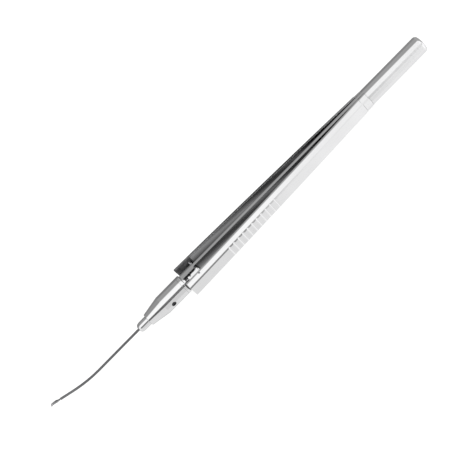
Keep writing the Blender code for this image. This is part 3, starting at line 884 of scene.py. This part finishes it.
def smooth_stations(shape, steps=4):
    """Stations between the given ones, on a smooth curve through them."""
    made = []
    last = len(shape) - 1
    for i in range(last):
        p0, p1, p2, p3 = (Vector(shape[min(max(k, 0), last)]) for k in (i - 1, i, i + 1, i + 2))
        for k in range(steps):
            t = k / steps
            bend = (p2 - p0) * t + (2.0 * p0 - 5.0 * p1 + 4.0 * p2 - p3) * t ** 2
            made.append(p1 + 0.5 * (bend + (3.0 * p1 - p0 - 3.0 * p2 + p3) * t ** 3))
    return made + [Vector(shape[-1])]


def build_jaw(name, side):
    """One jaw: a half-oval blade with a cam bulge and a hooked, pointed tip."""
    mouth, along, up = shaft_frame(MOUTH_RUN)
    rings = []
    back_steps = 16
    face_steps = 4
    thinnest = 0.01
    for run, outer, half in smooth_stations(jaw_shape(JAW_BULGES[name])):
        inner = JAW_GAP + JAW_SPLAY * (min(run, JAW_SPLAY_END) - JAW_ROOT)
        outer = max(outer, inner + thinnest)
        distance, height, turn = jaw_line(run)
        centre = mouth + along * distance + up * height
        tall = up * math.cos(turn) + along * math.sin(turn)
        ring = []
        for i in range(back_steps + 1):
            a = math.pi * i / back_steps - math.pi / 2.0
            y = inner + (outer - inner) * max(math.cos(a), 0.0) ** 0.8
            ring.append(centre + tall * (half * math.sin(a)) + Vector((0.0, side * y, 0.0)))
        for k in range(1, face_steps):
            a = math.pi * (0.5 - k / face_steps)
            ring.append(centre + tall * (half * math.sin(a)) + Vector((0.0, side * inner, 0.0)))
        rings.append(ring)
    jaw = to_object(f"hooked_jaw_{name}", skin(rings))
    finish_piece(jaw, f"{name}_jaw", [f"jaw_{name}"], LOOKS["jaw"])


# ---------------------------------------------------------------- inner pieces that keep their CAD shape

def dress_inner_pieces():
    """Finishes for the pieces inside, whose CAD shape is already right."""
    looks = {
        "satin": (
            "plunger",
            "tube_hub",
            "guide_bush",
            "wire_anchor",
            "root_dowel_rear",
            "root_dowel_front",
        ),
        "spring": ("core_wire", "jaw_stem"),
        "rubber": ("seal_ring",),
    }
    for look, nodes in looks.items():
        for node in nodes:
            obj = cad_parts[node]
            obj.data.materials.clear()
            obj.data.materials.append(LOOKS[look])


# ---------------------------------------------------------------- studio

# Brightness of the surround: at each share of +X in a direction, the levels round the X axis
# as degrees from straight up towards +Y, and level
SKY = [
    (0.85, [
        (-180, 0.90), (-172, 0.75), (-139.5, 0.70), (-134.5, 0.42), (-10, 0.46), (0, 1.2),
        (44, 1.25), (54, 0.90), (80, 1.1), (170, 1.0), (180, 0.90),
    ]),
    (0.55, [
        (-180, 0.88), (-172, 0.70), (-139.5, 0.62), (-134.5, 0.31), (-10, 0.33), (0, 1.2),
        (44, 1.25), (50, 0.16), (73, 0.16), (79, 0.90), (134, 0.95), (168, 0.93), (180, 0.88),
    ]),
    (0.040, [
        (-180, 0.88), (-172, 0.70), (-139.5, 0.62), (-134.5, 0.31), (-68, 0.29), (-50, 0.41),
        (-10, 0.38), (0, 1.2), (44, 1.25), (50, 0.12), (73, 0.12), (79, 0.88), (134, 0.92),
        (168, 0.92), (180, 0.88),
    ]),
    (0.034, [
        (-180, 0.95), (-139.5, 0.90), (-134.5, 0.19), (-68, 0.17), (-50, 0.42), (-10, 0.41),
        (0, 1.2), (44, 1.25), (50, 0.20), (73, 0.20), (79, 0.92), (86, 0.62), (124, 0.62),
        (131, 0.93), (180, 0.95),
    ]),
    (-0.065, [
        (-180, 0.95), (-139.5, 0.90), (-134.5, 0.07), (-68, 0.05), (-50, 0.45), (-10, 0.41),
        (0, 1.2), (44, 1.25), (50, 0.36), (73, 0.36), (79, 0.92), (86, 0.62), (124, 0.62),
        (131, 0.93), (180, 0.95),
    ]),
    (-0.105, [
        (-180, 1.0), (-139.5, 0.95), (-134.5, 0.30), (-68, 0.30), (-50, 0.42), (-10, 0.41),
        (0, 1.1), (44, 1.1), (50, 1.08), (73, 1.05), (79, 1.05), (134, 1.05), (180, 1.0),
    ]),
    (-0.4, [
        (-180, 0.95), (-139.5, 0.90), (-134.5, 0.44), (-10, 0.48), (0, 1.2), (44, 1.25), (54, 0.90),
        (70, 0.90), (80, 1.25), (134, 1.30), (180, 1.0),
    ]),
]
FLOOR_Z = min(low(node).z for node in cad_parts) - 0.01
FLOOR_FLAT_R = 1500.0
FLOOR_CURVE_R = 1000.0
FLOOR_TONE = 0.36
FLOOR_GLOW = 0.85
TABLE_ROUGH = 0.9
# Painted shade under the arms, seen only in reflections: height above the floor, half widths, fade and
# glow levels
SHADE_RISE = 0.005
SHADE_HALF_W = (1.2, 3.9)
SHADE_FADE = (0.8, 2.8)
SHADE_LEVELS = (0.06, 0.42)
CAMERA_TILT = math.radians(46.0)
CAMERA_ROLL = math.radians(45.45)
CAMERA_TARGET = Vector((67.08, -2.08, 2.155))
FRAME_WIDTH = 112.5
LENS = 150.0
SENSOR = 36.0
CLIP = (0.01, 20.0)


def sky_ring(tree, angle, stops):
    """A colour ramp of levels round the X axis."""
    ramp = tree.nodes.new("ShaderNodeValToRGB")
    elements = ramp.color_ramp.elements
    while len(elements) < len(stops):
        elements.new(0.5)
    for element, (degrees, level) in zip(elements, stops):
        element.position = (degrees + 180.0) / 360.0
        element.color = (level, level, level, 1.0)
    link(tree, angle, "Result", ramp, "Fac")
    return ramp


def fade(tree, source, output, start, end):
    """A share that goes from 0 to 1 while the source goes from start to end."""
    share = tree.nodes.new("ShaderNodeMapRange")
    share.inputs["From Min"].default_value = start
    share.inputs["From Max"].default_value = end
    link(tree, source, output, share, "Value")
    return share


def mix(tree, share, first, second):
    """One colour blended into another by a share."""
    blend = tree.nodes.new("ShaderNodeMix")
    blend.data_type = "RGBA"
    link(tree, share, "Result", blend, "Factor")
    tree.links.new(first, blend.inputs[6])
    tree.links.new(second, blend.inputs[7])
    return blend.outputs[2]


def build_sky():
    """Soft studio surround, graded round the X axis and along it."""
    world = bpy.data.worlds.new("studio")
    world.use_nodes = True
    bpy.context.scene.world = world
    tree = world.node_tree
    place = tree.nodes.new("ShaderNodeTexCoord")
    split = tree.nodes.new("ShaderNodeSeparateXYZ")
    turn = tree.nodes.new("ShaderNodeMath")
    turn.operation = "ARCTAN2"
    link(tree, place, "Generated", split, "Vector")
    link(tree, split, "Y", turn, 0)
    link(tree, split, "Z", turn, 1)
    angle = fade(tree, turn, "Value", -math.pi, math.pi)
    place_x, stops = SKY[0]
    level = sky_ring(tree, angle, stops).outputs["Color"]
    for next_x, stops in SKY[1:]:
        share = fade(tree, split, "X", place_x, next_x)
        level = mix(tree, share, level, sky_ring(tree, angle, stops).outputs["Color"])
        place_x = next_x
    tree.links.new(level, tree.nodes["Background"].inputs["Color"])


def build_floor():
    """Pale glowing table that the instrument lies on; far away it curves up behind every view."""
    steps = 12
    profile = [Vector((0.0, 0.0, FLOOR_Z))]
    for k in range(steps + 1):
        a = math.pi / 2.0 * k / steps
        rise = FLOOR_CURVE_R * (1.0 - math.cos(a))
        profile.append(Vector((FLOOR_FLAT_R + FLOOR_CURVE_R * math.sin(a), 0.0, FLOOR_Z + rise)))
    bm = bmesh.new()
    verts = [bm.verts.new(point) for point in profile]
    edges = [bm.edges.new(pair) for pair in zip(verts[:-1], verts[1:])]
    bmesh.ops.spin(
        bm,
        geom=verts + edges,
        cent=(0.0, 0.0, 0.0),
        axis=(0.0, 0.0, 1.0),
        angle=2.0 * math.pi,
        steps=64,
    )
    bmesh.ops.remove_doubles(bm, verts=bm.verts[:], dist=0.01)
    floor = to_object("floor", bm)
    floor.data.shade_smooth()
    material = bpy.data.materials.new("pale_table")
    material.use_nodes = True
    shader = material.node_tree.nodes["Principled BSDF"]
    shader.inputs["Base Color"].default_value = (FLOOR_TONE, FLOOR_TONE, FLOOR_TONE, 1.0)
    shader.inputs["Roughness"].default_value = TABLE_ROUGH
    shader.inputs["Specular IOR Level"].default_value = 0.0
    shader.inputs["Emission Color"].default_value = (1.0, 1.0, 1.0, 1.0)
    shader.inputs["Emission Strength"].default_value = FLOOR_GLOW
    floor.data.materials.append(material)
    floor.visible_glossy = False


def build_painted_table_shade():
    """Painted shade on the table under the arms, which reflections see darker than the open table: a
    glowing patch seen only by glossy rays, its glow darkest under the middle and brighter outwards.
    """
    start, end = ARM_X
    narrow, wide = SHADE_HALF_W
    bm = bmesh.new()
    corners = ((start, -narrow), (end, -wide), (end, wide), (start, narrow))
    bm.faces.new([bm.verts.new((x, y, FLOOR_Z + SHADE_RISE)) for x, y in corners])
    table = to_object("painted_table_shade", bm)
    material = bpy.data.materials.new("painted_table_shade")
    material.use_nodes = True
    tree = material.node_tree
    shader = tree.nodes["Principled BSDF"]
    shader.inputs["Base Color"].default_value = (0.02, 0.02, 0.02, 1.0)
    shader.inputs["Roughness"].default_value = TABLE_ROUGH
    shader.inputs["Emission Strength"].default_value = 1.0
    place = tree.nodes.new("ShaderNodeTexCoord")
    split = tree.nodes.new("ShaderNodeSeparateXYZ")
    aside = tree.nodes.new("ShaderNodeMath")
    aside.operation = "ABSOLUTE"
    link(tree, place, "Object", split, "Vector")
    link(tree, split, "Y", aside, 0)
    # Painted shade: the glow fades from the dark level under the middle to the lighter level further out
    share = fade(tree, aside, "Value", SHADE_FADE[0] * MM, SHADE_FADE[1] * MM)
    ramp = tree.nodes.new("ShaderNodeValToRGB")
    for element, level in zip(ramp.color_ramp.elements, SHADE_LEVELS):
        element.color = (level, level, level, 1.0)
    link(tree, share, "Result", ramp, "Fac")
    link(tree, ramp, "Color", shader, "Emission Color")
    table.data.materials.append(material)
    table.visible_camera = False
    table.visible_shadow = False
    table.visible_diffuse = False


def build_camera():
    """Camera above and to the left of the instrument, rolled, far away with a long lens."""
    camera = bpy.data.objects.new("camera", bpy.data.cameras.new("camera"))
    bpy.context.scene.collection.objects.link(camera)
    camera.data.lens = LENS
    camera.data.sensor_width = SENSOR
    towards = Vector((0.0, math.sin(CAMERA_TILT), math.cos(CAMERA_TILT)))
    across = Vector((0.0, math.cos(CAMERA_TILT), -math.sin(CAMERA_TILT)))
    right = Vector((-math.cos(CAMERA_ROLL), 0.0, 0.0)) + across * math.sin(CAMERA_ROLL)
    up = towards.cross(right)
    distance = FRAME_WIDTH * LENS / SENSOR
    spot = (CAMERA_TARGET + towards * distance) * MM
    turn = Matrix((right, up, towards)).transposed().to_4x4()
    camera.matrix_world = Matrix.Translation(spot) @ turn
    camera.data.clip_start = CLIP[0]
    camera.data.clip_end = CLIP[1]
    bpy.context.scene.camera = camera
    bpy.context.scene.view_settings.view_transform = "Standard"


build_camera()
build_sky()
build_floor()
build_painted_table_shade()
build_core()
build_slider()
for side_name, side_sign in (("left", 1.0), ("right", -1.0)):
    build_arm(side_name, side_sign)
    build_pins(side_name, side_sign)
    build_link(side_name, side_sign)
    build_jaw(side_name, side_sign)
build_lock_ring()
build_nose()
build_ferrule()
build_set_screw()
build_spring()
build_tube()
dress_inner_pieces()
